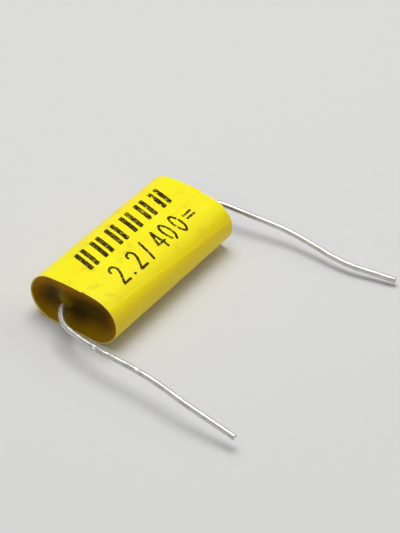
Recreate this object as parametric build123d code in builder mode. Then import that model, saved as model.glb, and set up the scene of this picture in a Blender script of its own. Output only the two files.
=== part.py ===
"""Axial film capacitor: a flat-pressed film winding in a yellow tape wrap, resin at both ends.

Millimetres. The origin is the middle of the body's flat underside, +X runs along the body
from the left end to the right end, and +Z points up.
"""

from build123d import *
from math import atan2, cos, degrees, radians, sqrt
import os

os.makedirs("parts", exist_ok=True)

# Body, measured over the tape
body_length = 26.0
body_width = 13.7
body_thickness = 7.4
crown_rise = 0.2  # height of the crowned top above the tops of the round long sides

# Tape wrap
tape_thickness = 0.06
tape_turns = 4
tail_y = -1.4  # the tape's tail ends here, on the top face
start_y = -4.9  # the last turn climbs over the tape's hidden start here
start_ramp = 0.5  # width of that climb

# Film winding and the sprayed metal on its ends
winding_clearance = 0.02  # between the winding and the tape
spray_thickness = 0.4

# Leads
wire_diameter = 0.8
tip_rounding = 0.12
foot_radius = 1.0  # the flattened inner end, soldered to the spray
foot_thickness = 0.3

# Solder joint over each foot
solder_radius = 1.6
solder_height = 0.75

# Resin fill
cast_clearance = 0.01  # between the cured resin and what it is cast against
resin_recess = 0.3  # from the tape's edge in to the resin's rim
fill_depth = 2.0  # from the resin's rim in to the sprayed metal
hollow_rim = 0.65  # width of the resin left between a hollow and the tape
hollow_floor = 1.1  # resin left between the deepest hollow and the sprayed metal
collar_radius = 1.0  # resin that climbs the wire
collar_top_radius = 0.6
collar_height = 0.12  # above the resin's rim

# Where each lead leaves its end, across the body
lead_left_y = 1.45
lead_right_y = 0.4

# Corners of the left lead after it leaves the end, as steps from the point where its axis
# passes the tape's edge: away from the body, across it, and up
lead_left_steps = [
    (0.3, 0.0, 0.0),
    (2.9, -1.8, 0.0),
    (4.3, -7.35, 0.25),
    (4.25, -15.95, 0.3),
    (4.95, -22.05, -0.3),
    (4.85, -29.75, -1.8),
]
lead_left_bends = [1.8, 5.0, 26.0, 46.0, 24.0]

# The same for the right lead
lead_right_steps = [
    (2.2, 0.0, 0.0),
    (3.55, -2.95, -0.3),
    (5.35, -12.6, -1.35),
    (5.3, -17.9, -1.95),
    (5.0, -21.2, -2.3),
    (6.9, -28.7, -2.8),
]
lead_right_bends = [1.6, 10.0, 20.0, 40.0, 16.0]

# Worked out from the sizes above
wrap_thickness = tape_turns * tape_thickness
edge_radius = (body_thickness - crown_rise) / 2  # of the round long sides
flat_half_width = body_width / 2 - edge_radius
crown_drop = body_thickness - edge_radius
crown_radius = (edge_radius**2 - crown_drop**2 - flat_half_width**2) / (
    2 * (edge_radius - crown_drop)
)
crown_centre_z = body_thickness - crown_radius
shoulder_angle = degrees(atan2(edge_radius - crown_centre_z, flat_half_width))
axis_z = body_thickness / 2
resin_rim_x = body_length / 2 - resin_recess
spray_face_x = resin_rim_x - fill_depth
winding_length = 2 * (spray_face_x - spray_thickness)
hollow_depth = fill_depth - hollow_floor


def oval(inset):
    """The body's section, inset from its outside: flat below, round sides, crowned top."""
    side_radius = edge_radius - inset
    with BuildSketch() as section:
        with BuildLine():
            Line((-flat_half_width, inset), (flat_half_width, inset))
            CenterArc((flat_half_width, edge_radius), side_radius, -90, 90 + shoulder_angle)
            CenterArc(
                (0, crown_centre_z),
                crown_radius - inset,
                shoulder_angle,
                180 - 2 * shoulder_angle,
            )
            CenterArc(
                (-flat_half_width, edge_radius),
                side_radius,
                180 - shoulder_angle,
                90 + shoulder_angle,
            )
        make_face()
    return section.sketch


def top_z(y, inset):
    """Height of the top face at y, inset from the body's outside."""
    if abs(y) <= (crown_radius - inset) * cos(radians(shoulder_angle)):
        return crown_centre_z + sqrt((crown_radius - inset) ** 2 - y**2)
    return edge_radius + sqrt((edge_radius - inset) ** 2 - (abs(y) - flat_half_width) ** 2)


def end_plane(side, distance, y):
    """A plane square to the body's length, facing outwards at the end that side names."""
    return Plane(origin=(side * distance, y, axis_z), x_dir=(0, 1, 0), z_dir=(side, 0, 0))


def lead_route(side, lead_y, steps):
    """The wire's corner points, from the spray out to the tip."""
    points = [(side * spray_face_x, lead_y, axis_z)]
    for away, across, up in steps:
        points.append((side * (body_length / 2 + away), lead_y + across, axis_z + up))
    return points


def build_lead(side, lead_y, steps, bends):
    """A round wire with a flattened foot at its inner end and a blunt cut tip."""
    points = lead_route(side, lead_y, steps)
    foot_plane = end_plane(side, spray_face_x, lead_y)
    with BuildPart() as lead:
        with BuildLine() as route:
            FilletPolyline(*points, radius=bends)
        with BuildSketch(foot_plane):
            Circle(wire_diameter / 2)
        sweep(path=route.wires()[0])
        tip = lead.faces().sort_by_distance(points[-1])[0]
        fillet(tip.edges(), tip_rounding)
        with BuildSketch(foot_plane):
            Circle(foot_radius)
        extrude(amount=foot_thickness)
    return lead.part


def build_solder(side, lead_y, lead):
    """A low dome of solder on the spray that buries the lead's foot."""
    dome_radius = (solder_radius**2 + solder_height**2) / (2 * solder_height)
    spray_face = end_plane(side, spray_face_x, lead_y)
    with BuildPart() as solder:
        with Locations(spray_face.offset(solder_height - dome_radius)):
            Sphere(dome_radius)
        split(bisect_by=spray_face, keep=Keep.TOP)
        add(lead, mode=Mode.SUBTRACT)
    return solder.part


def build_resin(side, lead_y):
    """The end fill: a dished plug with a hollow each side of the lead and a collar on it."""
    wall = wrap_thickness + cast_clearance
    half_width = body_width / 2 - wall
    rim = end_plane(side, resin_rim_x, 0)
    collar_foot = end_plane(side, resin_rim_x, lead_y)
    solder_bite = solder_radius + cast_clearance
    solder_reach = solder_height + cast_clearance
    dome_radius = (solder_bite**2 + solder_reach**2) / (2 * solder_reach)
    with BuildPart() as resin:
        with BuildSketch(Plane.YZ.offset(side * (spray_face_x + cast_clearance))):
            add(oval(wall))
        extrude(amount=side * (resin_rim_x - spray_face_x - cast_clearance))
        for across in (-1, 1):
            inner = lead_y + across * collar_radius
            outer = across * (half_width - hollow_rim)
            half_height = body_thickness / 2 - wall - hollow_rim
            hollow_radius = min(abs(outer - inner) / 2, half_height)
            depth = hollow_depth * hollow_radius / half_height
            ball_radius = (hollow_radius**2 + depth**2) / (2 * depth)
            middle = inner + across * hollow_radius
            with Locations(rim.offset(ball_radius - depth) * Location((middle, 0, 0))):
                Sphere(ball_radius, mode=Mode.SUBTRACT)
        with BuildSketch(collar_foot):
            Circle(collar_radius)
        with BuildSketch(collar_foot.offset(collar_height)):
            Circle(collar_top_radius)
        loft()
        with Locations(end_plane(side, spray_face_x + solder_reach - dome_radius, lead_y)):
            Sphere(dome_radius, mode=Mode.SUBTRACT)
        with BuildSketch(end_plane(side, spray_face_x, lead_y)):
            Circle(wire_diameter / 2 + cast_clearance)
        extrude(amount=body_length / 2 - spray_face_x + collar_height, mode=Mode.SUBTRACT)
    return resin.part


# Tape wrap: the whole roll of tape as one shell, with the step where its tail ends
with BuildPart() as tape_wrap:
    with BuildSketch(Plane.YZ.offset(-body_length / 2)):
        add(oval(0))
        add(oval(wrap_thickness), mode=Mode.SUBTRACT)
    extrude(amount=body_length)
    with BuildSketch(Plane.YZ.offset(-body_length / 2)):
        with BuildLine():
            tail_floor = (tail_y, top_z(tail_y, tape_thickness))
            start_floor = (start_y, top_z(start_y, tape_thickness))
            middle_y = (tail_y + start_y) / 2
            middle_floor = (middle_y, top_z(middle_y, tape_thickness))
            ThreePointArc(tail_floor, middle_floor, start_floor)
            Polyline(
                start_floor,
                (start_y - start_ramp, top_z(start_y - start_ramp, 0)),
                (start_y, body_thickness + tape_thickness),
                (tail_y, body_thickness + tape_thickness),
                tail_floor,
            )
        make_face()
    extrude(amount=body_length, mode=Mode.SUBTRACT)
tape_wrap.part.label = "tape_wrap"
export_step(tape_wrap.part, "parts/tape_wrap.step")

# Film winding: metallized film wound and pressed flat, one solid
with BuildPart() as film_winding:
    with BuildSketch(Plane.YZ.offset(-winding_length / 2)):
        add(oval(wrap_thickness + winding_clearance))
    extrude(amount=winding_length)
film_winding.part.label = "film_winding"
export_step(film_winding.part, "parts/film_winding.step")

# The two ends: sprayed metal, lead, solder joint and resin fill
ends = [
    ("left", -1, lead_left_y, lead_left_steps, lead_left_bends),
    ("right", 1, lead_right_y, lead_right_steps, lead_right_bends),
]
for name, side, lead_y, steps, bends in ends:
    with BuildPart() as end_spray:
        with BuildSketch(Plane.YZ.offset(side * winding_length / 2)):
            add(oval(wrap_thickness + winding_clearance))
        extrude(amount=side * spray_thickness)
    lead_part = build_lead(side, lead_y, steps, bends)
    solder_part = build_solder(side, lead_y, lead_part)
    resin_part = build_resin(side, lead_y)
    pieces = {
        "end_spray": end_spray.part,
        "lead": lead_part,
        "solder_joint": solder_part,
        "resin_fill": resin_part,
    }
    for piece, part in pieces.items():
        part.label = f"{piece}_{name}"
        export_step(part, f"parts/{piece}_{name}.step")
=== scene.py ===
"""Yellow axial film capacitor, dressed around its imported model.

The scene is laid out as an add-on: settings that a user would change, one operator for each
piece or group of like pieces, one for the stage, and a panel that lists them. Sizes are in
metres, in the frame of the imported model: +X along the body, +Z up, floor at zero.
"""

import math
import random

import bpy
import numpy as np
from bpy.props import FloatProperty, FloatVectorProperty, IntProperty, PointerProperty
from mathutils import Matrix, Vector, noise


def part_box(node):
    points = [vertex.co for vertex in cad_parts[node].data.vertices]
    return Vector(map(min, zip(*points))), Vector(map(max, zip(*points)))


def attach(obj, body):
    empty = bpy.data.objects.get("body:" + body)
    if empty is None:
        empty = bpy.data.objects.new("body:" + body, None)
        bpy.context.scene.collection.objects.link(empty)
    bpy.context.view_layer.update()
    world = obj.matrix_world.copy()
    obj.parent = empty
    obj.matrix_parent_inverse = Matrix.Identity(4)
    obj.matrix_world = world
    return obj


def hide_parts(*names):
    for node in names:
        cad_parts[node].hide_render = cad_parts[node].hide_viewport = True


bl_info = {
    "name": "Axial film capacitor",
    "version": (1, 0, 0),
    "blender": (4, 5, 0),
    "location": "3D View > Sidebar > Capacitor",
    "description": "Builds a tape-wrapped film capacitor with resin ends and tinned leads",
    "category": "Add Mesh",
}

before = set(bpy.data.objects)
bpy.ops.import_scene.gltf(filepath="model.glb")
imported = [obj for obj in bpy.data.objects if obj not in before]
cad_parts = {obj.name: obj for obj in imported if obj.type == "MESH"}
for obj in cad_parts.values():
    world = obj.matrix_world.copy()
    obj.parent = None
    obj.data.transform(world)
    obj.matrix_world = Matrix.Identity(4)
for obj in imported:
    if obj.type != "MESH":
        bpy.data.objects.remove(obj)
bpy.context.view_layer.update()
WRAP_LOW, WRAP_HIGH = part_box("tape_wrap")
RESIN_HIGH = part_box("resin_fill_right")[1]
SPRAY_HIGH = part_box("end_spray_right")[1]

MM = 0.001
END_SIDES = {"left": -1, "right": 1}

# Corners of each lead's axis, from the sprayed end out to the tip, in millimetres
LEAD_ROUTES = {
    "left": [
        (-10.7, 1.45, 3.7),
        (-13.3, 1.45, 3.7),
        (-15.9, -0.35, 3.7),
        (-17.3, -5.9, 3.95),
        (-17.25, -14.5, 4.0),
        (-17.95, -20.6, 3.4),
        (-17.85, -28.3, 1.9),
    ],
    "right": [
        (10.7, 0.4, 3.7),
        (15.2, 0.4, 3.7),
        (16.55, -2.55, 3.4),
        (18.35, -12.2, 2.35),
        (18.3, -17.5, 1.75),
        (18.0, -20.8, 1.4),
        (19.9, -28.3, 0.9),
    ],
}
LEAD_BENDS = {
    "left": [1.8, 5.0, 26.0, 46.0, 24.0],
    "right": [1.6, 10.0, 20.0, 40.0, 16.0],
}

# Tape wrap
SEAT = 0.01 * MM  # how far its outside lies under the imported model's, at the least
TAIL_SLOPE = 0.22 * MM  # width of the step down from the tail
START_SLOPE = 0.50 * MM  # width of the climb over the hidden start
OUTSIDE_POINTS = 76  # along its outside, with the two that belong to its lips
INSIDE_POINTS = 5  # along its inside
INSIDE_MARGIN = 1.0 * MM  # from the ends to the first of these
OTHER_END = 5.0  # added to a place, so that the left edge wanders otherwise than the right

# Resin
COLLAR_RISE = 0.12 * MM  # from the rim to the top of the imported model's collar
RESIN_HALF_WIDTH = 6.6 * MM
RESIN_AROUND = 176  # points round each ring
RESIN_ACROSS = 46  # rings from the wire out to the tape
CUP_RADIUS, CUP_HEIGHT = 1.61 * MM, 0.76 * MM  # of the hollow that clears the solder

# Leads
WIRE_AROUND = 32  # points round each ring
WIRE_STEP = 0.14 * MM  # from one ring to the next
BEND_STEPS = 24  # along each bend's arc, before it is cut finer
TIP_STEPS = 5  # over the rounding of the tip
NICK_SEED = 11  # of the left lead's nicks; the right lead's is one more
SKIN_DEPTH = 0.012 * MM  # of the waves in the drawn wire's surface
SKIN_WAVE = 0.9 * MM

# Where a tool has nicked each lead: from, to along the wire in millimetres, and how many
LEAD_NICKS = {"left": (10.5, 19.0, 34), "right": (21.0, 30.0, 12)}
TOOL_JAW = (-0.55, 0.0, 0.8)  # the way to one of the tool's jaws; the other is opposite

# Print on the top face, in millimetres
BAR_ENDS = (0.20, 3.80)  # y of the bars' lower and upper ends
BAR_CORNER = 0.16
BAR_PAIRS = 6
FIRST_PAIR_X, PAIR_STEP = -7.4, 3.16
HALF_PAIR = 0.62  # from a pair's middle to the middle of its bars
DIGIT_BASE, DIGIT_HEIGHT, DIGIT_WIDTH = -4.42, 3.05, 1.28
INK_ROOT = 0.02  # how far the ink reaches into the tape

# Stage
SOFTBOX_SPOT = (0.06, 0.06, 0.42)
SIDE_LIGHT_SPOT = (0.29, -0.19, 0.29)
FLOOR_RADII = (0.05, 0.15, 0.3, 0.5, 0.65, 0.8, 0.95, 1.1, 1.25)  # of its rings of points
FLOOR_FLAT = 0.5  # radius within which the floor is flat
FLOOR_AROUND = 96  # points round each ring


def length_setting(name, description, default):
    return FloatProperty(
        name=name, description=description, default=default, unit="LENGTH", precision=6
    )


def factor_setting(name, description, default):
    return FloatProperty(
        name=name, description=description, default=default, min=0, max=1, subtype="FACTOR"
    )


def colour_setting(name, description, default):
    return FloatVectorProperty(
        name=name,
        description=description,
        default=(*default, 1.0),
        size=4,
        min=0,
        max=1,
        subtype="COLOR",
    )


class BodySettings(bpy.types.PropertyGroup):
    """Overall sizes of the capacitor's body, measured over the tape."""

    length: length_setting(
        "Length", "Length of the body between the tape's edges", WRAP_HIGH.x - WRAP_LOW.x
    )
    width: length_setting(
        "Width", "Width of the body across both round sides", WRAP_HIGH.y - WRAP_LOW.y
    )
    thickness: length_setting(
        "Thickness", "Height of the crowned top over the underside", WRAP_HIGH.z - WRAP_LOW.z
    )
    crown_rise: length_setting(
        "Crown rise", "Height of the crown over the tops of the round sides", 0.2 * MM
    )


class TapeSettings(bpy.types.PropertyGroup):
    """Sizes and colours of the tape wrap."""

    thickness: length_setting("Thickness", "Thickness of one turn of tape", 0.06 * MM)
    turns: IntProperty(name="Turns", description="Turns of tape in the wrap", default=4, min=2)
    tail_y: length_setting("Tail", "Where the tape's tail ends on the top face", -1.4 * MM)
    start_y: length_setting(
        "Start", "Where the last turn climbs over the tape's hidden start", -5.95 * MM
    )
    start_drift: length_setting(
        "Start drift", "How far the hidden start leans round the side, in a metre's length", 0.075
    )
    telescope_left: length_setting(
        "Left telescope", "How far the outer turn stands past the next, at the left", 0.20 * MM
    )
    telescope_right: length_setting(
        "Right telescope", "How far the outer turn stands past the next, at the right", 0.10 * MM
    )
    ripple: length_setting("Ripple", "Depth of the slow ripples in the wrap", 0.05 * MM)
    colour: colour_setting("Tape", "Colour of the clean tape", (0.97, 0.90, 0.006))
    # Painted shade: the colour of the sides below the top, tinted as they look in shade.
    shaded_side_colour: colour_setting(
        "Deep tape", "Colour where the tape lies over more adhesive", (0.98, 0.735, 0.006)
    )
    # The colour of the cut edges and scuffs, and of the painted highlight on the lips.
    edge_and_highlight_colour: colour_setting("Edge", "Colour of the cut edges", (1.0, 0.86, 0.40))
    dirt_colour: colour_setting("Dirt", "Colour of smudges and specks", (0.30, 0.22, 0.03))
    roughness: factor_setting("Roughness", "Roughness of the clean tape", 0.36)


class ResinSettings(bpy.types.PropertyGroup):
    """Sizes and colours of the resin at both ends."""

    clearance: length_setting("Clearance", "Room between the resin and its wall", 0.01 * MM)
    climb: length_setting("Climb", "How far the resin climbs the tape", 0.14 * MM)
    dish: length_setting("Dish", "Depth of the wider hollow under the rim", 1.0 * MM)
    collar: length_setting("Collar", "How far the resin climbs the wire", 0.34 * MM)
    colour: colour_setting("Deep resin", "Colour of the resin in its hollows", (0.088, 0.048, 0.0))
    # Also the colour of the painted light on the resin's upper part.
    thin_and_lit_colour: colour_setting(
        "Thin resin", "Colour of thin resin against the tape", (0.46, 0.19, 0.0)
    )
    glow_colour: colour_setting(
        "Glow", "Colour where light reaches through the resin", (0.31, 0.20, 0.002)
    )
    # Painted shadow beside the wire, where the resin is also deepest.
    shadow_pool_colour: colour_setting(
        "Pools", "Colour of the deepest resin, beside the wire", (0.016, 0.008, 0.0)
    )
    dust_colour: colour_setting("Dust", "Colour of dust on the resin", (0.40, 0.28, 0.06))
    roughness: factor_setting("Roughness", "Roughness of the resin", 0.24)


class LeadSettings(bpy.types.PropertyGroup):
    """Sizes and colours of the two leads."""

    diameter: length_setting("Diameter", "Diameter of the wire", 0.8 * MM)
    foot_radius: length_setting("Foot radius", "Radius of the flattened inner end", 1.0 * MM)
    foot_thickness: length_setting("Foot", "Thickness of the flattened inner end", 0.3 * MM)
    tip_rounding: length_setting("Tip rounding", "Rounding of the cut tip", 0.12 * MM)
    nick_depth: length_setting("Nick depth", "Depth of the deepest nick", 0.08 * MM)
    colour: colour_setting("Tin", "Colour of the bright tinning", (0.70, 0.69, 0.65))
    dull_colour: colour_setting("Dull tin", "Colour of oxidised tinning", (0.38, 0.365, 0.33))
    roughness: factor_setting("Roughness", "Roughness of the bright tinning", 0.38)


class PrintSettings(bpy.types.PropertyGroup):
    """Sizes and colour of the print on the top face."""

    lift: length_setting("Lift", "Height of the ink over the tape", 0.008 * MM)
    grid: length_setting("Grid", "Size of the smallest mark in the ink", 0.06 * MM)
    slant: FloatProperty(
        name="Slant", description="Lean of the bars", default=math.radians(16), subtype="ANGLE"
    )
    bar_width: length_setting("Bar width", "Width of one bold bar", 0.74 * MM)
    stroke: length_setting("Stroke", "Width of the thin strokes", 0.37 * MM)
    colour: colour_setting("Ink", "Colour of the ink", (0.028, 0.010, 0.002))


class HiddenMetalSettings(bpy.types.PropertyGroup):
    """Colours of what the tape and resin hide."""

    film_colour: colour_setting("Film", "Colour of the metallized film", (0.62, 0.63, 0.64))
    haze_colour: colour_setting("Haze", "Colour where the film is hazy", (0.48, 0.50, 0.54))
    spray_colour: colour_setting("Spray", "Colour of the sprayed metal", (0.40, 0.41, 0.43))
    solder_colour: colour_setting("Solder", "Colour of the solder", (0.70, 0.71, 0.72))


class StageSettings(bpy.types.PropertyGroup):
    """The camera, the lights and the floor."""

    azimuth: FloatProperty(
        name="Azimuth",
        description="Turn of the camera round the body from the front",
        default=math.radians(-56.77),
        subtype="ANGLE",
    )
    elevation: FloatProperty(
        name="Elevation",
        description="Height of the camera over the horizon",
        default=math.radians(40.36),
        subtype="ANGLE",
    )
    roll: FloatProperty(
        name="Roll",
        description="Tilt of the picture",
        default=math.radians(2.73),
        subtype="ANGLE",
    )
    lens: FloatProperty(
        name="Lens", description="Focal length on a 36 mm frame", default=140.4, unit="CAMERA"
    )
    distance: length_setting("Distance", "From the camera to the body", 270.98 * MM)
    slide: length_setting("Slide", "The camera's move to its right", 8.67 * MM)
    climb: length_setting("Climb", "The camera's move up its picture", -1.22 * MM)
    softbox_power: FloatProperty(
        name="Softbox", description="Power of the overhead light", default=1.40, unit="POWER"
    )
    softbox_size: length_setting("Softbox size", "Side of the overhead light", 0.30)
    side_power: FloatProperty(
        name="Side light", description="Power of the light at the right", default=0.10, unit="POWER"
    )
    sky: factor_setting("Sky", "Strength of the plain light all round", 0.33)
    floor_colour: colour_setting("Floor", "Colour of the floor", (0.70, 0.70, 0.69))
    fleck_colour: colour_setting("Flecks", "Colour of the floor's flecks", (0.64, 0.64, 0.64))
    far_colour: colour_setting("Backdrop", "Colour that the far floor shows", (0.66, 0.66, 0.65))


class Value:
    """A socket in a material: Python's operators on it add Math nodes."""

    def __init__(self, finish, socket):
        self.finish = finish
        self.socket = socket

    def math(self, operation, first, second=0.0):
        return self.finish.node("ShaderNodeMath", {"operation": operation}, {0: first, 1: second})

    def __add__(self, other):
        return self.math("ADD", self, other)

    def __radd__(self, other):
        return self.math("ADD", other, self)

    def __sub__(self, other):
        return self.math("SUBTRACT", self, other)

    def __rsub__(self, other):
        return self.math("SUBTRACT", other, self)

    def __mul__(self, other):
        return self.math("MULTIPLY", self, other)

    def __rmul__(self, other):
        return self.math("MULTIPLY", other, self)

    def __pow__(self, other):
        return self.math("POWER", self, other)

    def __abs__(self):
        return self.math("ABSOLUTE", self)


class Finish:
    """A material being built around one shader."""

    def __init__(self, name):
        self.material = bpy.data.materials.new(name)
        self.material.use_nodes = True
        self.tree = self.material.node_tree
        self.shader = self.tree.nodes["Principled BSDF"]

    def node(self, kind, settings=None, inputs=None, output=0):
        """Adds a node: its settings first, then the values or links of its sockets."""
        node = self.tree.nodes.new(kind)
        for name, value in (settings or {}).items():
            setattr(node, name, value)
        self.fill(node, inputs or {})
        return Value(self, node.outputs[output])

    def fill(self, node, inputs):
        """Gives sockets their values, or their links where the value is a socket."""
        for name, value in inputs.items():
            socket = node.inputs[name]
            if isinstance(value, Value):
                self.tree.links.new(value.socket, socket)
            else:
                socket.default_value = value

    def surface(self, inputs):
        """Fills the shader's sockets and returns the finished material."""
        self.fill(self.shader, inputs)
        return self.material

    def place(self, scale=(1.0, 1.0, 1.0)):
        """The point on the piece in millimetres, stretched by scale."""
        point = self.node("ShaderNodeTexCoord", output="Object")
        return self.node(
            "ShaderNodeVectorMath",
            {"operation": "MULTIPLY"},
            {0: point, 1: [factor / MM for factor in scale]},
        )

    def axis(self, place, name):
        """One coordinate of a place, X, Y or Z."""
        return self.node("ShaderNodeSeparateXYZ", inputs={0: place}, output=name)

    def noise(self, place, scale, detail, roughness=0.5):
        """Noise from 0 to 1 with scale waves in a millimetre."""
        return self.node(
            "ShaderNodeTexNoise",
            inputs={"Vector": place, "Scale": scale, "Detail": detail, "Roughness": roughness},
        )

    def rise(self, value, low, high):
        """0 below low, 1 over high and smooth between them."""
        return self.node(
            "ShaderNodeMapRange", {"interpolation_type": "SMOOTHSTEP"}, {0: value, 1: low, 2: high}
        )

    def larger(self, first, second):
        return self.node("ShaderNodeMath", {"operation": "MAXIMUM"}, {0: first, 1: second})

    def length(self, x, y):
        """The length of the vector with these parts."""
        return (x * x + y * y) ** 0.5

    def patches(self, place, scale, detail, low, high, roughness=0.5):
        """Noise cut to patches: 0 where it is below low, 1 where it is over high."""
        return self.rise(self.noise(place, scale, detail, roughness), low, high)

    def mix(self, factor, first, second):
        return self.node(
            "ShaderNodeMix", {"data_type": "RGBA"}, {0: factor, 6: first, 7: second}, output=2
        )

    def bump(self, height, distance):
        return self.node("ShaderNodeBump", inputs={"Height": height, "Distance": distance})


class Oval:
    """The body's section: flat below, round sides and a low crown on top.

    A place on it is its distance along the outline from the middle of the top face, first
    towards -Y, then round the underside and back over the other side.
    """

    def __init__(self, body):
        self.radius = (body.thickness - body.crown_rise) / 2
        self.half_flat = body.width / 2 - self.radius
        drop = body.thickness - self.radius
        self.crown_radius = (self.radius**2 - drop**2 - self.half_flat**2) / (
            2 * (self.radius - drop)
        )
        self.crown_centre = body.thickness - self.crown_radius
        self.turn = math.atan2(self.half_flat, self.radius - self.crown_centre)
        self.crown_end = self.crown_radius * self.turn
        self.side_end = self.crown_end + self.radius * (math.pi - self.turn)
        self.around = 2 * (self.side_end + self.half_flat)

    def at(self, along):
        """The outline's point and outward normal, as (y, z) pairs."""
        along %= self.around
        mirror = 1.0
        if along > self.around / 2:
            along = self.around - along
            mirror = -1.0
        if along <= self.crown_end:
            angle = along / self.crown_radius
            y = -self.crown_radius * math.sin(angle)
            z = self.crown_centre + self.crown_radius * math.cos(angle)
        elif along <= self.side_end:
            angle = self.turn + (along - self.crown_end) / self.radius
            y = -self.half_flat - self.radius * math.sin(angle)
            z = self.radius + self.radius * math.cos(angle)
        else:
            angle = math.pi
            y = -self.half_flat + along - self.side_end
            z = 0.0
        return (mirror * y, z), (-mirror * math.sin(angle), math.cos(angle))

    def place_on_top(self, y):
        """The place of the top face's point at y."""
        if abs(y) <= self.crown_radius * math.sin(self.turn):
            along = self.crown_radius * math.asin(abs(y) / self.crown_radius)
        else:
            angle = math.asin((abs(y) - self.half_flat) / self.radius)
            along = self.crown_end + self.radius * (angle - self.turn)
        return along if y <= 0 else self.around - along


def ease(share):
    """0 below 0, 1 over 1 and smooth between them."""
    share = min(1.0, max(0.0, share))
    return share * share * (3 - 2 * share)


def waves(x, y, z):
    """Smooth noise from -1 to 1, with waves about 1 long."""
    return noise.noise(Vector((x, y, z)))


class WrapSurface:
    """The tape's outside, which the print also follows."""

    def __init__(self, oval, tape):
        self.oval = oval
        self.tape = tape
        self.wall = tape.thickness * tape.turns
        self.tail = oval.place_on_top(tape.tail_y)
        self.start = oval.place_on_top(tape.start_y)

    def sunk(self, along, x):
        """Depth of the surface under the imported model's outline, at a place and an x."""
        (y, z), _ = self.oval.at(along)
        slow = waves(x / (7 * MM), y / (3 * MM), z / (3 * MM))
        fast = waves(x / (2.2 * MM) + 9, y / (1.3 * MM), z / (1.3 * MM))
        ripple = self.tape.ripple * (0.5 + 0.40 * slow + 0.10 * fast)
        start = self.start + self.tape.start_drift * x + 0.1 * MM * slow
        step = ease((along - self.tail) / TAIL_SLOPE) - ease((along - start) / START_SLOPE)
        return SEAT + ripple + step * self.tape.thickness

    def point(self, along, x, depth):
        """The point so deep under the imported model's outline."""
        (y, z), (ny, nz) = self.oval.at(along)
        return (x, y - ny * depth, z - nz * depth)

    def layer_point(self, along, x, inset):
        """A point between the wrap's outside, at inset 0, and its inside, at 1."""
        sunk = self.sunk(along, x)
        return self.point(along, x, sunk + (self.wall - sunk) * inset)


def ring_mesh(name, rings, caps=()):
    """A mesh from closed rings of points.

    caps are the middles of the first and the last ring, which close a tube. Without them the
    last ring joins the first.
    """
    count = len(rings[0])
    points = [point for ring in rings for point in ring]
    faces = []
    for row in range(len(rings) - 1 if caps else len(rings)):
        here, there = row * count, (row + 1) % len(rings) * count
        for k in range(count):
            n = (k + 1) % count
            faces.append((here + k, here + n, there + n, there + k))
    for cap, first in zip(caps, (0, len(points) - count)):
        points.append(cap)
        middle = len(points) - 1
        for k in range(count):
            a, b = first + k, first + (k + 1) % count
            faces.append((a, b, middle) if first else (b, a, middle))
    return new_piece(name, points, faces)


def new_piece(name, points, faces):
    """A smooth object from points and faces, with its faces turned outwards."""
    mesh = bpy.data.meshes.new(name)
    mesh.from_pydata([tuple(float(c) for c in point) for point in points], [], faces)
    mesh.validate()
    mesh.update()
    if signed_volume(mesh) < 0:
        mesh.flip_normals()
    mesh.polygons.foreach_set("use_smooth", [True] * len(mesh.polygons))
    piece = bpy.data.objects.new(name, mesh)
    bpy.context.scene.collection.objects.link(piece)
    return piece


def signed_volume(mesh):
    """Six times the volume that the mesh encloses, below zero where it is inside out."""
    mesh.calc_loop_triangles()
    total = 0.0
    for triangle in mesh.loop_triangles:
        a, b, c = (mesh.vertices[i].co for i in triangle.vertices)
        total += a.dot(b.cross(c))
    return total


def sharpen(piece, degrees):
    """Marks edges that turn more than the angle as sharp, so that corners stay crisp."""
    piece.data.set_sharp_from_angle(angle=math.radians(degrees))


def dress(piece, material, slot, *nodes):
    """Gives a piece its finish and its body, and hides the imported nodes that it stands for. slot
    is not used.
    """
    piece.data.materials.append(material)
    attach(piece, "root")
    if nodes:
        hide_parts(*nodes)


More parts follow.
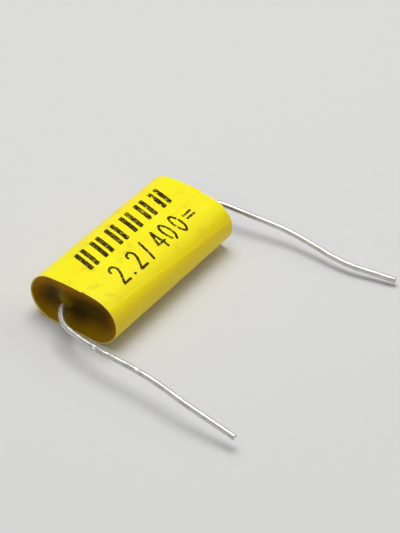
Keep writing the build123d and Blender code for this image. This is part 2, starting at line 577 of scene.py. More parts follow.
def tape_finish(name, tape, ink_colour=None):
    """Dyed film tape: painted shade that tints its sides deeper golden with slow drift, smudges,
    specks, scuffs, pale cut edges partly painted as highlight, and a painted highlight along the
    top's edges near the ends.

    With an ink colour it is worn ink, through which the same tape shows.
    """
    finish = Finish(name)
    place = finish.place()
    x, y, z = (finish.axis(place, axis) for axis in "XYZ")
    drift = finish.patches(place, scale=0.16, detail=2, low=0.35, high=0.68)
    upper = finish.rise(z, 4.8, 7.4)
    # Painted shade: the sides below the top are tinted deeper golden, drifting slowly.
    colour = finish.mix(upper * (0.7 + 0.3 * drift), tape.shaded_side_colour, tape.colour)
    smudge = finish.patches(place, scale=0.42, detail=4, low=0.55, high=0.74, roughness=0.6)
    smudge = smudge * (0.3 + 0.7 * upper)
    colour = finish.mix(smudge * 0.26, colour, tape.dirt_colour)
    speck = finish.patches(place, scale=2.6, detail=1, low=0.71, high=0.78)
    colour = finish.mix(speck * 0.30, colour, tape.dirt_colour)
    drawn = finish.place((0.35, 3.2, 3.2))
    scuffed = finish.patches(drawn, scale=1.0, detail=3, low=0.60, high=0.72, roughness=0.6)
    colour = finish.mix(scuffed * 0.20, colour, tape.edge_and_highlight_colour)
    # Pale cut edges on faces that point along the body: partly their own paler colour, partly
    # painted highlight where the lips catch light.
    facing = finish.node("ShaderNodeTexCoord", output="Normal")
    cut = finish.rise(abs(finish.axis(facing, "X")), 0.20, 0.75)
    colour = finish.mix(cut * 0.9, colour, tape.edge_and_highlight_colour)
    # Painted highlight along the top's edges near both ends, clear of the notch.
    lip_highlight = finish.rise(abs(x), 12.68, 12.79) * upper * (1 - finish.rise(y, -1.9, -1.5))
    colour = finish.mix(lip_highlight * 0.75, colour, tape.edge_and_highlight_colour)
    roughness = tape.roughness + 0.10 * smudge + 0.14 * scuffed + 0.22 * cut
    gloss = 0.20
    if ink_colour is not None:
        worn = finish.patches(place, scale=4.5, detail=3, low=0.55, high=0.70, roughness=0.65)
        towards_right = finish.rise(x, -4.0, 10.0)
        thin = finish.patches(place, scale=1.6, detail=3, low=0.50, high=0.80)
        bare = worn * 0.60 + thin * (0.25 + 0.35 * towards_right)
        colour = finish.mix(bare, ink_colour, colour)
        roughness = roughness + 0.12
        gloss = 0.10
    grain = finish.noise(place, scale=7.0, detail=3, roughness=0.6)
    creases = finish.noise(finish.place((0.25, 1.0, 1.0)), scale=1.1, detail=2)
    height = 0.35 * grain + 0.9 * creases - 0.25 * scuffed
    return finish.surface(
        {
            "Base Color": colour,
            "Roughness": roughness,
            "Normal": finish.bump(height, 0.02 * MM),
            "Specular IOR Level": gloss,
        }
    )


class CAPACITOR_OT_tape_wrap(bpy.types.Operator):
    """Build the tape wrap, with its tail, its rounded lips and its telescoped turns"""

    bl_idname = "capacitor.tape_wrap"
    bl_label = "Tape wrap"

    def execute(self, context):
        body, tape = context.scene.capacitor_body, context.scene.capacitor_tape
        oval = Oval(body)
        surface = WrapSurface(oval, tape)
        reach = body.length / 2
        columns = []
        for along in self.places(oval, surface):
            share = (along - surface.tail) % oval.around / oval.around
            right = self.lip(tape, tape.telescope_right, share, along)
            left = self.lip(tape, tape.telescope_left, share, along + OTHER_END)
            outside = np.linspace(left[0][0] - reach, reach - right[0][0], OUTSIDE_POINTS)
            inside = np.linspace(reach - INSIDE_MARGIN, INSIDE_MARGIN - reach, INSIDE_POINTS)
            spots = [(x, 0.0) for x in outside[1:-1]]
            spots += [(reach - back, inset) for back, inset in right]
            spots += [(x, 1.0) for x in inside]
            spots += [(back - reach, inset) for back, inset in reversed(left)]
            columns.append([surface.layer_point(along, x, inset) for x, inset in spots])
        piece = ring_mesh("tape_shell", columns)
        sharpen(piece, degrees=50)
        dress(piece, tape_finish("tape", tape), "tape", "tape_wrap")
        return {"FINISHED"}

    def places(self, oval, surface):
        """Places round the section, closer together at the tail and the hidden start."""
        places = [surface.tail]
        # Where each stretch stops, and the step between its places
        stretches = [
            (surface.tail + TAIL_SLOPE, 0.03 * MM),
            (surface.start - 1.1 * MM, 0.20 * MM),
            (surface.start + 1.4 * MM, 0.07 * MM),
            (surface.tail + oval.around - 0.003 * MM, 0.22 * MM),
        ]
        for stop, step in stretches:
            here = places[-1]
            count = math.ceil((stop - here) / step)
            places += [here + (stop - here) * k / count for k in range(1, count + 1)]
        return [place % oval.around for place in places]

    def lip(self, tape, telescope, share, along):
        """One end of the wrap, from outside to inside: distance in from the end, and inset.

        share is how far round the roll the place is from the tail. Each turn winds a little
        further in from the end, the first one most.
        """
        rounding = 0.018 * MM
        fray = 0.018 * MM
        edge = rounding / (tape.thickness * tape.turns)
        profile = []
        for turn in range(tape.turns):
            wound = turn + 1 - share
            back = telescope * (wound if wound < 1 else 3 * wound / (2 * wound + 1))
            back += fray * (1 + waves(along / (2.5 * MM), turn * 3.7, 0.3))
            low, high = turn / tape.turns, (turn + 1) / tape.turns
            if turn == 0:
                profile.append((back + 0.05 * MM, 0.0))
                profile.append((back + rounding, 0.0))
                profile.append((back + 0.3 * rounding, low + 0.3 * edge))
            else:
                profile.append((back + rounding, low + 0.02 * edge))
            profile.append((back, low + edge))
            profile.append((back, high - edge))
            last = turn == tape.turns - 1
            profile.append((back + rounding, 1.0 if last else high - 0.02 * edge))
        return profile


def resin_inset(scene):
    """From the body's outside in to the resin: the wrap's wall and the resin's clearance."""
    tape = scene.capacitor_tape
    return tape.thickness * tape.turns + scene.capacitor_resin.clearance


class CAPACITOR_OT_resin_fills(bpy.types.Operator):
    """Build the resin at both ends, dished each side of its lead and drawn up the wire"""

    bl_idname = "capacitor.resin_fills"
    bl_label = "Resin fills"

    def execute(self, context):
        scene = context.scene
        material = self.finish(scene)
        for name, side in END_SIDES.items():
            self.build(scene, name, side, material)
        return {"FINISHED"}

    def build(self, scene, name, side, material):
        """One end's resin, as rings: over its front, down its wall and in to the wire again."""
        resin = scene.capacitor_resin
        oval = Oval(scene.capacitor_body)
        inset = resin_inset(scene)
        bore = scene.capacitor_leads.diameter / 2 + resin.clearance
        _, lead_y, lead_z = (c * MM for c in LEAD_ROUTES[name][0])
        centre = np.array([lead_y, lead_z])
        rim = RESIN_HIGH.x - COLLAR_RISE
        back = SPRAY_HIGH.x + resin.clearance
        wall = []
        for k in range(RESIN_AROUND):
            (y, z), (ny, nz) = oval.at(oval.around * k / RESIN_AROUND)
            wall.append((y - ny * inset, z - nz * inset))
        wall = np.array(wall)
        out = wall - centre
        reach = np.linalg.norm(out, axis=1)
        out /= reach[:, None]
        even = np.linspace(0, 1, RESIN_ACROSS)
        shares = 0.65 * (1 - np.cos(np.pi * even)) / 2 + 0.35 * even  # closer at both edges
        rings = []
        for share in shares:
            radius = bore + (reach - bore) * share
            spot = centre + out * radius[:, None]
            gap = np.array([np.linalg.norm(wall - p, axis=1).min() for p in spot])
            height = self.height(resin, spot, gap, radius, lead_y, lead_z, bore)
            rings.append([(side * (rim + h), y, z) for h, (y, z) in zip(height, spot)])
        for x in np.linspace(rim, back, 6)[1:]:
            rings.append([(side * x, y, z) for y, z in wall])
        for share in (0.66, 0.33, 0.0):
            radius = CUP_RADIUS + (reach - CUP_RADIUS) * share
            spot = centre + out * radius[:, None]
            rings.append([(side * back, y, z) for y, z in spot])
        ball = (CUP_RADIUS**2 + CUP_HEIGHT**2) / (2 * CUP_HEIGHT)
        for radius in np.linspace(CUP_RADIUS, bore, 9)[1:]:
            x = back + CUP_HEIGHT - ball + math.sqrt(ball**2 - radius**2)
            spot = centre + out * radius
            rings.append([(side * x, y, z) for y, z in spot])
        piece = ring_mesh(f"resin_{name}", rings)
        sharpen(piece, degrees=60)
        dress(piece, material, "resin", f"resin_fill_{name}")

    def height(self, resin, spot, gap, radius, lead_y, lead_z, bore):
        """How far the front stands past the rim's plane, at each spot.

        gap is the spot's distance from the tape and radius its distance from the wire's axis.
        A saddle above and below the wire and the resin round its root fill the dish in part.
        """
        across = (spot[:, 0] - lead_y) / MM
        up = (spot[:, 1] - lead_z) / MM
        room = RESIN_HALF_WIDTH + np.where(across < 0, lead_y, -lead_y)
        dish = resin.dish * np.clip(room / RESIN_HALF_WIDTH, 0.4, 1.05)
        dish = dish * (1 - np.exp(-((gap / (1.15 * MM)) ** 1.7)))
        saddle = 0.46 * np.exp(-((across / 1.35) ** 2)) / (1 + np.exp(-2 * up))
        saddle += 0.22 * np.exp(-((across / 1.5) ** 2)) / (1 + np.exp(2 * up))
        near = 0.55 * np.exp(-((radius / (1.35 * MM)) ** 2))
        dish = dish * np.clip(1 - saddle - near, 0.05, 1)
        climb = resin.climb * np.exp(-gap / (0.22 * MM))
        collar = resin.collar * np.exp(-(radius - bore) / (0.30 * MM))
        return climb + collar - dish

    def finish(self, scene):
        """Amber resin: dark in its hollows, brighter where it thins at the tape and the wire, with
        painted shadow beside the wire, painted glow low down, near the rim and above the wire's
        root, and painted light on its upper part.
        """
        resin = scene.capacitor_resin
        oval = Oval(scene.capacitor_body)
        finish = Finish("resin")
        place = finish.place()
        x, y, z = (finish.axis(place, axis) for axis in "XYZ")
        beside = finish.larger(abs(y) - oval.half_flat / MM, 0.0)
        up = z - oval.radius / MM
        gap = (oval.radius - resin_inset(scene)) / MM - finish.length(beside, up)
        swirl = finish.noise(place, scale=0.9, detail=3, roughness=0.55)
        thin = 1 - finish.rise(gap + 0.9 * (swirl - 0.5), -0.1, 2.8)
        # Painted glow towards the bottom, stronger where the resin is thin.
        low = 1 - finish.rise(z, 0.6, 2.9)
        colour = finish.mix(thin * 0.80, resin.colour, resin.thin_and_lit_colour)
        colour = finish.mix(low * (0.28 + 0.44 * thin), colour, resin.glow_colour)
        # Painted light on the upper part of the resin's face, which faces down into shade.
        high = finish.rise(z - 0.10 * abs(y), 4.3, 6.5)
        colour = finish.mix(high * 0.65, colour, resin.thin_and_lit_colour)
        # Painted glow near the rim, where the front stands furthest out.
        shallow = finish.rise(abs(x), 12.30, 12.85)
        colour = finish.mix(shallow * 0.30, colour, resin.glow_colour)
        (left_x, left_y, wire_z), (right_x, right_y, _) = (
            LEAD_ROUTES[name][0] for name in END_SIDES
        )
        lean = (right_y - left_y) / (right_x - left_x)
        aside = y - left_y - lean * (x - left_x)  # from the line between the two wires' roots
        above = z - wire_z

        def spot(across, up, inner, outer):
            """1 at a spot so far from the wire's root, 0 beyond the outer radius from it."""
            beyond = finish.length(aside - across, above - up)
            return 1 - finish.rise(beyond, inner, outer)

        # Painted shadow beside the wire and low in its hollows, where the resin is also deepest.
        wide_shadow_pool = spot(across=-1.7, up=-1.4, inner=0.2, outer=2.7)
        narrow_shadow_pool = spot(across=3.4, up=-0.8, inner=0.2, outer=2.7)
        shadow_pools = wide_shadow_pool + 0.7 * narrow_shadow_pool
        colour = finish.mix(shadow_pools * 0.66, colour, resin.shadow_pool_colour)
        # Painted highlight just above the wire's root.
        root = spot(across=0.15, up=0.45, inner=0.3, outer=1.7)
        colour = finish.mix(root * 0.70, colour, resin.glow_colour)
        cloud = finish.patches(place, scale=2.4, detail=3, low=0.52, high=0.75)
        colour = finish.mix(cloud * 0.12, colour, resin.thin_and_lit_colour)
        grain = finish.noise(place, scale=9.0, detail=2)
        dust = finish.rise(grain, 0.68, 0.76)
        colour = finish.mix(dust * 0.10, colour, resin.dust_colour)
        height = finish.noise(place, scale=1.2, detail=2) + 0.10 * grain
        return finish.surface(
            {
                "Base Color": colour,
                "Roughness": resin.roughness + 0.16 * cloud + 0.25 * dust,
                "Normal": finish.bump(height, 0.03 * MM),
                "Specular IOR Level": 0.04,
            }
        )


class CAPACITOR_OT_leads(bpy.types.Operator):
    """Build both tinned leads along their bends, with tool nicks and blunt cut tips"""

    bl_idname = "capacitor.leads"
    bl_label = "Leads"

    def execute(self, context):
        leads = context.scene.capacitor_leads
        material = self.finish(leads)
        for number, name in enumerate(END_SIDES):
            route = self.route(LEAD_ROUTES[name], LEAD_BENDS[name])
            piece = self.wire(name, leads, route, random.Random(NICK_SEED + number))
            dress(piece, material, "tinned_wire", f"lead_{name}")
        return {"FINISHED"}

    def route(self, corners, bends):
        """Points along the wire's axis, with each corner rounded to its bend radius."""
        corners = [Vector(corner) * MM for corner in corners]
        points = [corners[0]]
        for before, corner, after, bend in zip(corners, corners[1:], corners[2:], bends):
            come, go = (corner - before).normalized(), (after - corner).normalized()
            turn = come.angle(go)
            reach = bend * MM * math.tan(turn / 2)
            middle = corner + (go - come).normalized() * (bend * MM / math.cos(turn / 2))
            axis = come.cross(go).normalized()
            begin = corner - come * reach
            for step in range(BEND_STEPS + 1):
                spoke = Matrix.Rotation(turn * step / BEND_STEPS, 4, axis) @ (begin - middle)
                points.append(middle + spoke)
        points.append(corners[-1])
        fine = [points[0]]
        for point in points[1:]:
            start = fine[-1]
            count = max(1, round((point - start).length / WIRE_STEP))
            fine += [start.lerp(point, k / count) for k in range(1, count + 1)]
        return fine

    def wire(self, name, leads, route, chance):
        """A tube along the route: a flat foot inside, tool nicks, and a blunt rounded tip."""
        radius = leads.diameter / 2
        travel = [0.0]
        for here, there in zip(route, route[1:]):
            travel.append(travel[-1] + (there - here).length)
        tip = travel[-1]
        nicks = self.nicks(name, leads, chance)
        # Each ring's place along the wire and its radius
        cuts = [(0.0, leads.foot_radius), (leads.foot_thickness, leads.foot_radius)]
        cuts.append((leads.foot_thickness, radius))
        for here in travel:
            if leads.foot_thickness < here < tip - leads.tip_rounding:
                cuts.append((here, radius))
        for k in range(TIP_STEPS + 1):
            angle = math.pi / 2 * k / TIP_STEPS
            back = leads.tip_rounding * (1 - math.sin(angle))
            cuts.append((tip - back, radius - leads.tip_rounding * (1 - math.cos(angle))))
        cuts.append((tip, (radius - leads.tip_rounding) / 2))
        side = (route[1] - route[0]).orthogonal().normalized()
        rings, index = [], 0
        for here, size in cuts:
            while index < len(travel) - 2 and travel[index + 1] < here:
                index += 1
            share = (here - travel[index]) / (travel[index + 1] - travel[index])
            point = route[index].lerp(route[index + 1], share)
            tangent = (route[index + 1] - route[index]).normalized()
            side = (side - tangent * side.dot(tangent)).normalized()
            other = tangent.cross(side)
            ring = []
            for k in range(WIRE_AROUND):
                angle = 2 * math.pi * k / WIRE_AROUND
                spoke = side * math.cos(angle) + other * math.sin(angle)
                loss = 0.0
                if size > radius * 0.6 and here > 2 * MM:  # not in the foot or amid the tip
                    loss = self.loss(nicks, here, point + spoke * size, spoke, tangent)
                ring.append(point + spoke * (size - loss))
            rings.append(ring)
        piece = ring_mesh(f"wire_{name}", rings, caps=(route[0], route[-1]))
        sharpen(piece, degrees=50)
        return piece

    def loss(self, nicks, here, spot, spoke, tangent):
        """How far the wire's surface lies inside its round outline at a spot."""
        loss = SKIN_DEPTH * (1 + waves(*(spot / SKIN_WAVE)))
        for middle, way, depth, run, spread in nicks:
            if abs(here - middle) < 3 * run:
                off = spoke.angle(way - tangent * way.dot(tangent))
                reach = ((here - middle) / run) ** 2 + (off / spread) ** 2
                loss += depth * math.exp(-reach)
        return loss

    def nicks(self, name, leads, chance):
        """Each nick's place along the wire, the way it came from, depth, length and spread."""
        first, last, count = LEAD_NICKS[name]
        return [
            (
                chance.uniform(first, last) * MM,
                self.bite(chance),
                chance.uniform(0.35, 1.0) * leads.nick_depth,
                chance.uniform(0.14, 0.42) * MM,
                chance.uniform(0.25, 0.65),
            )
            for _ in range(count)
        ]

    def bite(self, chance):
        """A direction that one of a tool's two jaws came from."""
        jaw = chance.choice((-1, 1))
        return Vector([jaw * (part + chance.uniform(-0.5, 0.5)) for part in TOOL_JAW])

    def finish(self, leads):
        """Tinned wire: bright tin with dull patches, drawing lines and small pits."""
        finish = Finish("tinned wire")
        place = finish.place()
        oxidised = finish.patches(place, scale=0.55, detail=4, low=0.46, high=0.66, roughness=0.6)
        pits = finish.patches(place, scale=4.5, detail=3, low=0.58, high=0.70)
        dull = 0.40 * oxidised + 0.30 * pits
        colour = finish.mix(dull, leads.colour, leads.dull_colour)
        x, y = finish.axis(place, "X"), finish.axis(place, "Y")
        on_left_lead = 1 - finish.rise(x, -5.0, 5.0)
        worked = (finish.rise(y, -15.0, -12.5) - finish.rise(y, -7.0, -5.0)) * on_left_lead
        rubbed = worked * finish.patches(place, scale=2.2, detail=3, low=0.42, high=0.62)
        colour = finish.mix(rubbed * 0.45, colour, leads.dull_colour)
        lines = finish.noise(finish.place((3.0, 0.3, 3.0)), scale=2.4, detail=2)
        height = 0.6 * finish.noise(place, scale=2.8, detail=3) - 0.8 * pits + 0.3 * lines
        return finish.surface(
            {
                "Base Color": colour,
                "Metallic": 1.0,
                "Roughness": leads.roughness + 0.16 * dull + 0.12 * rubbed + 0.06 * lines,
                "Normal": finish.bump(height, 0.02 * MM),
            }
        )


def segment_gap(points, start, end):
    """Distance of points in the plane from a straight stroke."""
    start, end = np.array(start), np.array(end)
    run = end - start
    share = np.clip((points - start) @ run / (run @ run), 0, 1)
    return np.linalg.norm(points - start - share[:, None] * run, axis=1)


def stroke_gap(points, strokes):
    """Distance of points from the nearest of some strokes, each a chain of corners."""
    gaps = [
        segment_gap(points, start, end)
        for stroke in strokes
        for start, end in zip(stroke, stroke[1:])
    ]
    return np.min(gaps, axis=0)


def arc(middle, size, first, last, count=14):
    """Corners of an arc of an ellipse, angles in degrees."""
    angles = np.radians(np.linspace(first, last, count))
    return [(middle[0] + size[0] * math.cos(a), middle[1] + size[1] * math.sin(a)) for a in angles]


def ink_wear(x, y, worn):
    """How much ink is lost at a plane point in millimetres, where worn is from 0 to 1."""
    ragged = waves(x * 4.3, y * 4.3, 1.7)
    rubbed = waves(x * 1.1 + 5, y * 1.5, 8.1)
    speck = waves(x * 5.5, y * 5.5, 4.4)
    lost = max(0.0, rubbed - 0.60 + 0.5 * worn) + max(0.0, speck - 0.58 + 0.25 * worn)
    return 0.9 * lost - 0.05 * ragged


def ink_field(grid, coverage, wear):
    """How far inside the worn ink each point of a grid is, below zero where it has none."""
    field = coverage(grid.reshape(-1, 2)).reshape(grid.shape[:2])
    begins, full, most = wear
    for i, j in np.ndindex(field.shape):
        if field[i, j] > -0.3:  # further out no ragged edge can reach
            x, y = grid[i, j]
            worn = most * min(1.0, max(0.0, (x - begins) / (full - begins)))
            field[i, j] -= ink_wear(x, y, worn)
    return field


def ink_faces(grid, field):
    """Points and faces of the plane where the field is over zero, cut where it is zero."""
    plane, faces, seen = [], [], {}

    def corner(i, j):
        key = (i, j)
        if key not in seen:
            seen[key] = len(plane)
            plane.append(tuple(grid[i, j]))
        return seen[key]

    def crossing(i, j, m, n):
        """The point between two corners where the ink ends, kept clear of both."""
        key = (i, j, m, n) if (i, j) < (m, n) else (m, n, i, j)
        if key not in seen:
            a, b = field[i, j], field[m, n]
            share = min(0.95, max(0.05, a / (a - b)))
            seen[key] = len(plane)
            plane.append(tuple(grid[i, j] + (grid[m, n] - grid[i, j]) * share))
        return seen[key]

    for i, j in np.ndindex(field.shape[0] - 1, field.shape[1] - 1):
        square = [(i, j), (i + 1, j), (i + 1, j + 1), (i, j + 1)]
        face = []
        for here, there in zip(square, square[1:] + square[:1]):
            if field[here] > 0:
                face.append(corner(*here))
            if (field[here] > 0) != (field[there] > 0):
                face.append(crossing(*here, *there))
        if face:
            faces.append(face)
    return plane, faces


def ink_piece(name, scene, area, coverage, wear):
    """Ink on the top face where coverage is over zero, cut along its ragged edge.

    area holds the plane's low and high corner in millimetres. coverage takes plane points and
    gives how far inside the ink they are. wear holds the x where the wear begins, the x where
    it is full, and how strong it is there.
    """
    ink, tape = scene.capacitor_print, scene.capacitor_tape
    surface = WrapSurface(Oval(scene.capacitor_body), tape)
    step = ink.grid / MM
    xs, ys = (np.arange(low, high + step, step) for low, high in zip(*area))
    grid = np.array([[(x, y) for y in ys] for x in xs])
    plane, faces = ink_faces(grid, ink_field(grid, coverage, wear))
    # A dict, because it keeps the edges in order
    edges = dict.fromkeys(edge for face in faces for edge in zip(face, face[1:] + face[:1]))
    count = len(plane)
    points = []
    for lift in (ink.lift, -INK_ROOT * MM):
        for x, y in plane:
            along = surface.oval.place_on_top(y * MM)
            depth = surface.sunk(along, x * MM) - lift
            points.append(surface.point(along, x * MM, depth))
    solid = faces + [[k + count for k in reversed(face)] for face in faces]
    solid += [[b, a, a + count, b + count] for a, b in edges if (b, a) not in edges]
    piece = new_piece(name, points, solid)
    sharpen(piece, degrees=50)
    material = bpy.data.materials.get("worn ink") or tape_finish("worn ink", tape, ink.colour)
    dress(piece, material, "tape")


class CAPACITOR_OT_print_bars(bpy.types.Operator):
    """Print the bold row: six pairs of plain bars, more worn towards the right end"""

    bl_idname = "capacitor.print_bars"
    bl_label = "Bold bars"

    def execute(self, context):
        ink = context.scene.capacitor_print
        lean = math.tan(ink.slant)
        half_width = ink.bar_width / MM / 2
        low_y, high_y = BAR_ENDS
        middle_y, half_height = (low_y + high_y) / 2, (high_y - low_y) / 2
        pairs = [FIRST_PAIR_X + PAIR_STEP * k for k in range(BAR_PAIRS)]
        middles = [pair + side * HALF_PAIR for pair in pairs for side in (-1, 1)]

        def coverage(points):
            up = points[:, 1] - middle_y
            x = points[:, 0] - lean * up
            beside = np.min([np.abs(x - middle) for middle in middles], axis=0)
            past_x = np.maximum(beside - half_width + BAR_CORNER, 0)
            past_y = np.maximum(np.abs(up) - half_height + BAR_CORNER, 0)
            return BAR_CORNER - np.hypot(past_x, past_y)

        wear = (-3.0, 10.0, 0.75)
        area = ((-9.6, 0.0), (10.6, 4.0))
        ink_piece("print_bars", context.scene, area, coverage, wear)
        return {"FINISHED"}


class CAPACITOR_OT_print_digits(bpy.types.Operator):
    """Print the thin row of plain digits, with a slash and a direct-current sign"""

    bl_idname = "capacitor.print_digits"
    bl_label = "Thin digits"

    def execute(self, context):
        ink = context.scene.capacitor_print
        lean = math.tan(ink.slant / 4)
        half_stroke = ink.stroke / MM / 2
        # Strokes of each sign as corners, with its width and height as 1
        two = [
            arc((0.5, 0.74), (0.46, 0.25), 170, -10) + [(0.78, 0.5), (0.02, 0.0), (1.0, 0.0)],
        ]
        four = [[(0.78, 0.0), (0.78, 1.0), (0.0, 0.30), (1.06, 0.30)]]
        nought = [arc((0.5, 0.5), (0.46, 0.5), 0, 360, 34)]
        slash = [[(0.08, 0.0), (0.62, 1.0)]]
        dot = [[(0.45, 0.03), (0.55, 0.03)]]
        direct = [
            [(0.0, 0.60), (1.15, 0.60)],
            [(0.0, 0.36), (0.22, 0.36)],
            [(0.47, 0.36), (0.69, 0.36)],
            [(0.93, 0.36), (1.15, 0.36)],
        ]
        # Each sign and the x of its middle
        row = [
            (two, -7.15),
            (dot, -5.40),
            (two, -3.50),
            (slash, -1.00),
            (four, 1.30),
            (nought, 3.45),
            (nought, 5.70),
            (direct, 8.00),
        ]
        strokes = []
        for sign, middle in row:
            for stroke in sign:
                corners = []
                for across, up in stroke:
                    x = middle + (across - 0.5) * DIGIT_WIDTH + lean * (up - 0.5) * DIGIT_HEIGHT
                    corners.append((x, DIGIT_BASE + up * DIGIT_HEIGHT))
                strokes.append(corners)

        def coverage(points):
            return half_stroke - stroke_gap(points, strokes)

        wear = (-1.0, 9.0, 0.6)
        area = ((-8.6, -4.9), (9.4, -1.0))
        ink_piece("print_digits", context.scene, area, coverage, wear)
        return {"FINISHED"}


class CAPACITOR_OT_hidden_metal(bpy.types.Operator):
    """Finish the film winding, the sprayed ends and the solder joints that the wrap hides"""

    bl_idname = "capacitor.hidden_metal"
    bl_label = "Hidden metal"

    def execute(self, context):
        metal = context.scene.capacitor_metal
        materials = {
            "film_winding": self.film(metal),
            "end_spray": self.grainy(
                "sprayed metal", metal.spray_colour, scale=5.0, roughness=0.62, depth=0.05 * MM
            ),
            "solder_joint": self.grainy(
                "solder", metal.solder_colour, scale=1.4, roughness=0.26, depth=0.02 * MM
            ),
        }
        for name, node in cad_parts.items():
            for start, material in materials.items():
                if name.startswith(start):
                    node.data.materials.clear()
                    node.data.materials.append(material)
        return {"FINISHED"}

    def film(self, metal):
        """Metallized film wound in fine layers."""
        finish = Finish("metallized film")
        layers = finish.noise(finish.place((0.05, 4.0, 4.0)), scale=2.0, detail=3)
        haze = finish.patches(finish.place(), scale=0.4, detail=3, low=0.35, high=0.7)
        return finish.surface(
            {
                "Base Color": finish.mix(haze, metal.film_colour, metal.haze_colour),
                "Metallic": 1.0,
                "Roughness": 0.28 + 0.20 * layers,
                "Normal": finish.bump(layers, 0.01 * MM),
            }
        )

    def grainy(self, name, colour, scale, roughness, depth):
        """Cast or sprayed metal with grain of the given scale."""
        finish = Finish(name)
        grain = finish.noise(finish.place(), scale, detail=4, roughness=0.6)
        dark = [0.6 * channel for channel in colour[:3]] + [1.0]
        return finish.surface(
            {
                "Base Color": finish.mix(finish.rise(grain, 0.40, 0.65), dark, colour),
                "Metallic": 1.0,
                "Roughness": roughness + 0.2 * (grain - 0.5),
                "Normal": finish.bump(grain, depth),
            }
        )


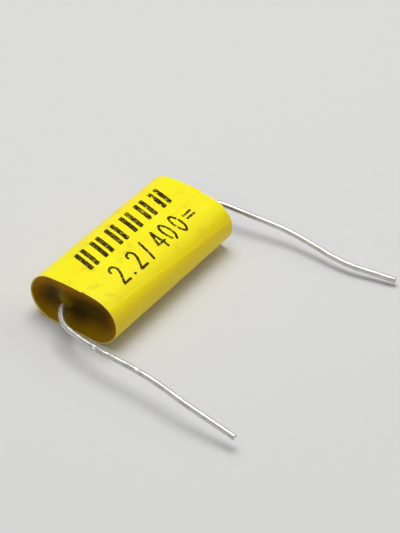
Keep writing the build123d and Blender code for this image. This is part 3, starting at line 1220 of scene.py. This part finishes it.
class CAPACITOR_OT_stage(bpy.types.Operator):
    """Set the camera, the soft light and a plain pale floor"""

    bl_idname = "capacitor.stage"
    bl_label = "Stage"

    def execute(self, context):
        scene = context.scene
        stage = scene.capacitor_stage
        self.camera(scene, stage, scene.capacitor_body.thickness / 2)
        self.floor(scene, stage)
        size = stage.softbox_size
        self.lamp(scene, "softbox", SOFTBOX_SPOT, size, stage.softbox_power)
        self.lamp(scene, "side_light", SIDE_LIGHT_SPOT, size / 2, stage.side_power)
        self.sky(scene, stage)
        scene.view_settings.view_transform = "Standard"
        return {"FINISHED"}

    def camera(self, scene, stage, middle_z):
        """A camera that looks past the body's middle from the photograph's angle."""
        flat = math.cos(stage.elevation)
        back = Vector(
            (
                math.sin(stage.azimuth) * flat,
                -math.cos(stage.azimuth) * flat,
                math.sin(stage.elevation),
            )
        )
        right = (-back).cross(Vector((0, 0, 1))).normalized()
        up = right.cross(-back)
        turned_right = math.cos(stage.roll) * right + math.sin(stage.roll) * up
        turned_up = math.cos(stage.roll) * up - math.sin(stage.roll) * right
        spot = Vector((0, 0, middle_z)) + back * stage.distance
        spot += turned_right * stage.slide + turned_up * stage.climb
        lens = bpy.data.cameras.new("camera")
        lens.sensor_width = 36
        lens.lens = stage.lens
        lens.clip_start = 0.01
        lens.clip_end = 10
        camera = bpy.data.objects.new("camera", lens)
        turn = Matrix((turned_right, turned_up, back)).transposed().to_4x4()
        camera.matrix_world = Matrix.Translation(spot) @ turn
        scene.collection.objects.link(camera)
        scene.camera = camera

    def floor(self, scene, stage):
        """A wide floor that rises gently far out, so low views meet it too."""
        angles = np.linspace(0, 2 * math.pi, FLOOR_AROUND, endpoint=False)
        points = [(0.0, 0.0, 0.0)]
        for radius in FLOOR_RADII:
            rise = 0.9 * max(0.0, radius - FLOOR_FLAT) ** 2
            points += [(radius * math.cos(a), radius * math.sin(a), rise) for a in angles]
        faces = []
        for k in range(FLOOR_AROUND):
            n = (k + 1) % FLOOR_AROUND
            faces.append((0, 1 + k, 1 + n))
            for row in range(1, len(FLOOR_RADII)):
                inner, outer = 1 + (row - 1) * FLOOR_AROUND, 1 + row * FLOOR_AROUND
                faces.append((inner + k, outer + k, outer + n, inner + n))
        mesh = bpy.data.meshes.new("floor")
        mesh.from_pydata(points, [], faces)
        mesh.polygons.foreach_set("use_smooth", [True] * len(mesh.polygons))
        floor = bpy.data.objects.new("floor", mesh)
        scene.collection.objects.link(floor)
        mesh.materials.append(self.floor_finish(stage))

    def floor_finish(self, stage):
        """Plain matt card, shown evenly pale far out where the lamps don't reach it."""
        finish = Finish("floor")
        place = finish.place()
        flecks = finish.noise(place, scale=0.6, detail=3)
        colour = finish.mix(flecks * 0.25, stage.floor_colour, stage.fleck_colour)
        finish.surface({"Base Color": colour, "Roughness": 0.75 + 0.1 * flecks})
        x, y = finish.axis(place, "X"), finish.axis(place, "Y")
        far = finish.rise(finish.length(x, y), 100.0, 300.0)
        seen = finish.node("ShaderNodeLightPath", output="Is Camera Ray")
        for ray in ("Is Glossy Ray", "Is Transmission Ray"):
            seen = seen + finish.node("ShaderNodeLightPath", output=ray)
        pale = finish.node("ShaderNodeEmission", inputs={"Color": stage.far_colour})
        lit = Value(finish, finish.shader.outputs[0])
        shown = finish.node("ShaderNodeMixShader", inputs={0: far * seen, 1: lit, 2: pale})
        finish.fill(finish.tree.nodes["Material Output"], {"Surface": shown})
        return finish.material

    def lamp(self, scene, name, spot, size, power):
        """A square soft light at a spot, turned to the body."""
        light = bpy.data.lights.new(name, "AREA")
        light.shape = "SQUARE"
        light.size = size
        light.energy = power
        lamp = bpy.data.objects.new(name, light)
        lamp.location = spot
        lamp.rotation_euler = Vector(spot).to_track_quat("Z", "Y").to_euler()
        scene.collection.objects.link(lamp)

    def sky(self, scene, stage):
        """Plain white light from all round."""
        world = bpy.data.worlds.new("plain light")
        world.use_nodes = True
        background = world.node_tree.nodes["Background"]
        background.inputs["Color"].default_value = (1.0, 1.0, 1.0, 1.0)
        background.inputs["Strength"].default_value = stage.sky
        scene.world = world


class CAPACITOR_PT_panel(bpy.types.Panel):
    """Lists the settings, and the operator for each piece."""

    bl_idname = "CAPACITOR_PT_panel"
    bl_label = "Film capacitor"
    bl_space_type = "VIEW_3D"
    bl_region_type = "UI"
    bl_category = "Capacitor"

    def draw(self, context):
        layout = self.layout
        for name, _ in SETTINGS:
            group = getattr(context.scene, name)
            box = layout.box()
            box.label(text=group.bl_rna.description)
            for setting in group.bl_rna.properties:
                if setting.identifier not in {"rna_type", "name"}:
                    box.prop(group, setting.identifier)
        for operator in OPERATORS:
            layout.operator(operator.bl_idname)


SETTINGS = [
    ("capacitor_body", BodySettings),
    ("capacitor_tape", TapeSettings),
    ("capacitor_resin", ResinSettings),
    ("capacitor_leads", LeadSettings),
    ("capacitor_print", PrintSettings),
    ("capacitor_metal", HiddenMetalSettings),
    ("capacitor_stage", StageSettings),
]
OPERATORS = [
    CAPACITOR_OT_tape_wrap,
    CAPACITOR_OT_resin_fills,
    CAPACITOR_OT_leads,
    CAPACITOR_OT_print_bars,
    CAPACITOR_OT_print_digits,
    CAPACITOR_OT_hidden_metal,
    CAPACITOR_OT_stage,
]


def register():
    for name, group in SETTINGS:
        bpy.utils.register_class(group)
        setattr(bpy.types.Scene, name, PointerProperty(type=group))
    for operator in OPERATORS:
        bpy.utils.register_class(operator)
    bpy.utils.register_class(CAPACITOR_PT_panel)


def unregister():
    bpy.utils.unregister_class(CAPACITOR_PT_panel)
    for operator in reversed(OPERATORS):
        bpy.utils.unregister_class(operator)
    for name, group in reversed(SETTINGS):
        delattr(bpy.types.Scene, name)
        bpy.utils.unregister_class(group)


def main():
    """Registers the add-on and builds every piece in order."""
    register()
    bpy.ops.capacitor.tape_wrap()
    bpy.ops.capacitor.resin_fills()
    bpy.ops.capacitor.leads()
    bpy.ops.capacitor.print_bars()
    bpy.ops.capacitor.print_digits()
    bpy.ops.capacitor.hidden_metal()
    bpy.ops.capacitor.stage()


if __name__ == "__main__":
    main()
